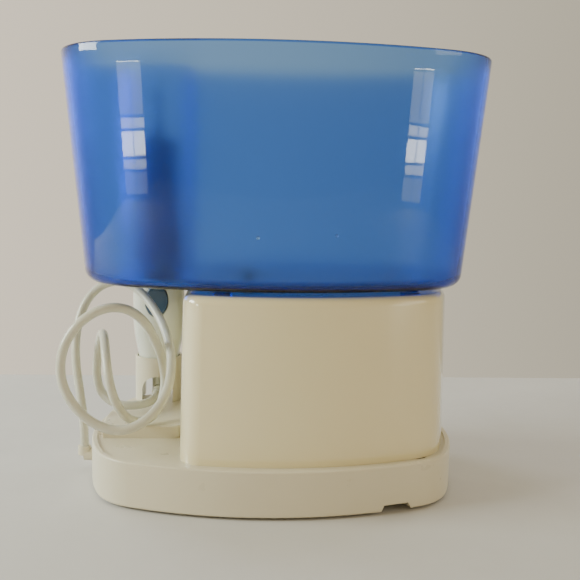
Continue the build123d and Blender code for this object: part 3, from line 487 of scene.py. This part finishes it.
def build_tank():
    """Outer wall, rounded rim, inner wall, floor and spigot as one closed skin, with feet and marks."""
    bm = bmesh.new()
    outer_round, inner_round, rim_round = 5.0 * MM, 4.0 * MM, TANK_WALL / 2
    outer = []
    for k in range(ROUND_STEPS + 1):
        turn = quarter(k, ROUND_STEPS)
        z = TANK_BOTTOM + outer_round * (1 - math.cos(turn))
        outer.append((z, outer_round * (1 - math.sin(turn))))
    wall_low = outer[-1][0]
    for k in range(1, WALL_STEPS + 1):
        outer.append((wall_low + (TANK_TOP - rim_round - wall_low) * k / WALL_STEPS, 0.0))
    for k in range(1, RIM_STEPS + 1):
        turn = quarter(k, RIM_STEPS)
        outer.append((TANK_TOP - rim_round * (1 - math.sin(turn)), rim_round * (1 - math.cos(turn))))
    inner = []
    for k in range(1, RIM_STEPS + 1):
        turn = quarter(k, RIM_STEPS)
        inner.append((TANK_TOP - rim_round * (1 - math.cos(turn)), rim_round * (1 + math.sin(turn))))
    wall_high = inner[-1][0]
    low = TANK_BOTTOM + TANK_FLOOR + inner_round
    for k in range(1, WALL_STEPS + 1):
        inner.append((wall_high + (low - wall_high) * k / WALL_STEPS, TANK_WALL))
    for k in range(1, ROUND_STEPS + 1):
        turn = quarter(k, ROUND_STEPS)
        inner.append((low - inner_round * math.sin(turn), TANK_WALL + inner_round * (1 - math.cos(turn))))
    rings = [tank_ring(bm, z, inset) for z, inset in outer + inner]
    frosted = bm.faces.layers.float.new("frosted")
    for i, (ring_a, ring_b) in enumerate(zip(rings, rings[1:])):
        for face in bridge(bm, ring_a, ring_b):
            face[frosted] = float(i > len(outer))
    under, bore = lathe(bm, SOCKET, [(r * MM, z * MM) for r, z in SPIGOT])
    fill_between(bm, [rings[0], under])
    fill_between(bm, [rings[-1], bore])
    for x, y in TANK_FEET:
        lathe(bm, Vector((x * MM, y * MM, 0)), FOOT_PROFILE, 32, True)
    for x, y, z in GATE_MARKS:
        mark = bmesh.ops.create_uvsphere(bm, u_segments=16, v_segments=8, radius=GATE_RADIUS)
        bmesh.ops.scale(bm, vec=(1, 0.6, 1), verts=mark["verts"])
        bmesh.ops.translate(bm, vec=(x * MM, y * MM, z * MM), verts=mark["verts"])
    return make_object("tank_shell", bm, [TANK_BLUE], 40)


tank = build_tank()
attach(tank, "reservoir")
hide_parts("reservoir")


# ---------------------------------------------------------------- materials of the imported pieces
slot_of = {part["node"]: part["material_slot"] for part in frame["record"]["subparts"]}
for node, piece in frame["nodes"].items():
    mat = MATERIALS.get(slot_of[node], TANK_BLUE)
    piece.data.materials.clear()
    piece.data.materials.append(mat)


# ---------------------------------------------------------------- table, light and camera
def stage_slab():
    """A pale table top with a rounded edge; its far edge is close behind the object."""
    bm = bmesh.new()
    bmesh.ops.create_cube(bm, size=1.0)
    width, near, far, thick, edge_round = 1.6, -1.0, 0.216, 0.03, 0.006
    for vert in bm.verts:
        y = (near + far) / 2 + vert.co.y * (far - near)
        vert.co = Vector((vert.co.x * width, y, (vert.co.z - 0.5) * thick))
    bmesh.ops.bevel(bm, geom=bm.edges[:], offset=edge_round, segments=4, affect="EDGES")
    top = plastic("table_top", (0.60, 0.59, 0.585), 0.55, 90.0, 0.0003, 0.03)
    slab = make_object("table", bm, [top])


def area_light(name, place, target, size, power, colour, mirrored=True):
    """A rectangular soft light aimed at a point; only its reflection shows, and only if mirrored."""
    data = bpy.data.lights.new(name, "AREA")
    data.shape = "RECTANGLE"
    data.size, data.size_y = size
    data.energy = power
    data.color = colour
    lamp = bpy.data.objects.new(name, data)
    lamp.location = place
    lamp.rotation_euler = (Vector(target) - Vector(place)).to_track_quat("-Z", "Y").to_euler()
    lamp.visible_camera = False
    lamp.visible_glossy = mirrored
    bpy.context.scene.collection.objects.link(lamp)


def window(name, azimuth, distance, width, panes, colour):
    """Upright lit panes in pairs, each a (low, high, brightness); azimuth 0 is behind the object."""
    bearing = math.radians(azimuth)
    across = Vector((math.cos(bearing), -math.sin(bearing), 0))
    centre = Vector((math.sin(bearing), math.cos(bearing), 0)) * distance
    bar = 0.004
    pane_width = (width - bar) / 2
    for low, high, brightness in panes:
        power = brightness * math.pi * pane_width * (high - low)
        for side in (-1, 1):
            place = centre + across * side * (pane_width + bar) / 2
            place.z = (low + high) / 2
            size = (pane_width, high - low)
            area_light(f"{name}_{low}_{side}", place, place - centre, size, power, colour)


WALL_LEFT, WALL_RIGHT, ROOM = (0.99, 0.87, 0.69), (0.40, 0.37, 0.28), (0.47, 0.37, 0.20)
ROOM_STRENGTH = 1.15


def room_light():
    """The room: a wall that darkens to the right, and a warmer, dimmer side behind the camera."""
    world = bpy.data.worlds.new("room")
    bpy.context.scene.world = world
    world.use_nodes = True
    tree = world.node_tree
    coords = tree.nodes.new("ShaderNodeTexCoord")
    parts = tree.nodes.new("ShaderNodeSeparateXYZ")
    tree.links.new(coords.outputs["Generated"], parts.inputs["Vector"])
    across = tree.nodes.new("ShaderNodeMapRange")
    across.inputs["From Min"].default_value = -0.45
    across.inputs["From Max"].default_value = 0.55
    tree.links.new(parts.outputs["X"], across.inputs["Value"])
    wall = ramp(tree, across.outputs["Result"], [(0.0, WALL_LEFT), (1.0, WALL_RIGHT)])
    depth = tree.nodes.new("ShaderNodeMapRange")
    depth.inputs["From Min"].default_value = 0.3
    depth.inputs["From Max"].default_value = 0.85
    tree.links.new(parts.outputs["Y"], depth.inputs["Value"])
    blend = tree.nodes.new("ShaderNodeMix")
    blend.data_type = "RGBA"
    factor, side_a, side_b = (blend.inputs[i] for i in (0, 6, 7))
    side_a.default_value = (*ROOM, 1)
    tree.links.new(depth.outputs["Result"], factor)
    tree.links.new(wall, side_b)
    tree.links.new(blend.outputs[2], tree.nodes["Background"].inputs["Color"])
    tree.nodes["Background"].inputs["Strength"].default_value = ROOM_STRENGTH


stage_slab()
room_light()

# Window panes as (low, high, brightness)
PANES = [
    (0.01, 0.045, 2), (0.05, 0.065, 7), (0.07, 0.105, 20),
    (0.11, 0.125, 9), (0.13, 0.205, 3), (0.21, 0.218, 22),
]
window("window_left", -133, 1.0, 0.14, PANES, (0.95, 1.0, 0.93))
window("window_right", 132, 1.0, 0.12, PANES, (0.98, 1.0, 0.92))
# Soft lights as name, place, target, size, power, colour and whether the gloss shows them
SOFT_LIGHTS = [
    ("sky_left", (-1.30, -0.16, 0.60), (0, 0, 0.1), (0.7, 0.5), 24, (0.92, 1.0, 0.92), True),
    ("sky_right", (1.2, -0.65, 0.66), (0, 0, 0.1), (0.5, 0.5), 2, (1.0, 0.95, 0.86), True),
    ("sky_back_left", (-1.0, 0.95, 0.35), (0, 0, 0.15), (0.7, 0.6), 15, (0.80, 0.92, 1.0), False),
    ("sky_back_right", (1.1, 0.95, 0.35), (0, 0, 0.15), (0.6, 0.5), 7, (0.80, 0.92, 1.0), False),
    ("room_front", (0.25, -1.3, 0.22), (0, 0, 0.08), (1.3, 0.45), 1.5, (1.0, 0.78, 0.42), False),
    ("ceiling", (0.0, 0.1, 1.5), (0, 0, 0), (1.4, 1.2), 3, (0.88, 0.97, 0.95), False),
]
for light in SOFT_LIGHTS:
    area_light(*light)

CAMERA_PLACE = Vector((-15.24, -429.22, 157.78)) * MM
CAMERA_YAW, CAMERA_PITCH, CAMERA_ROLL = (math.radians(a) for a in (3.138, -7.905, 1.143))
camera_data = bpy.data.cameras.new("camera")
camera_data.sensor_width = 36.0
camera_data.lens = 51.5
camera = bpy.data.objects.new("camera", camera_data)
forward = Vector((
    math.sin(CAMERA_YAW) * math.cos(CAMERA_PITCH),
    math.cos(CAMERA_YAW) * math.cos(CAMERA_PITCH),
    math.sin(CAMERA_PITCH),
))
level_right = Vector((math.cos(CAMERA_YAW), -math.sin(CAMERA_YAW), 0))
level_up = level_right.cross(forward)
right = level_right * math.cos(CAMERA_ROLL) + level_up * math.sin(CAMERA_ROLL)
up = level_up * math.cos(CAMERA_ROLL) - level_right * math.sin(CAMERA_ROLL)
facing = Matrix((right, up, -forward)).transposed().to_4x4()
camera.matrix_world = Matrix.Translation(CAMERA_PLACE) @ facing
bpy.context.scene.collection.objects.link(camera)
bpy.context.scene.camera = camera
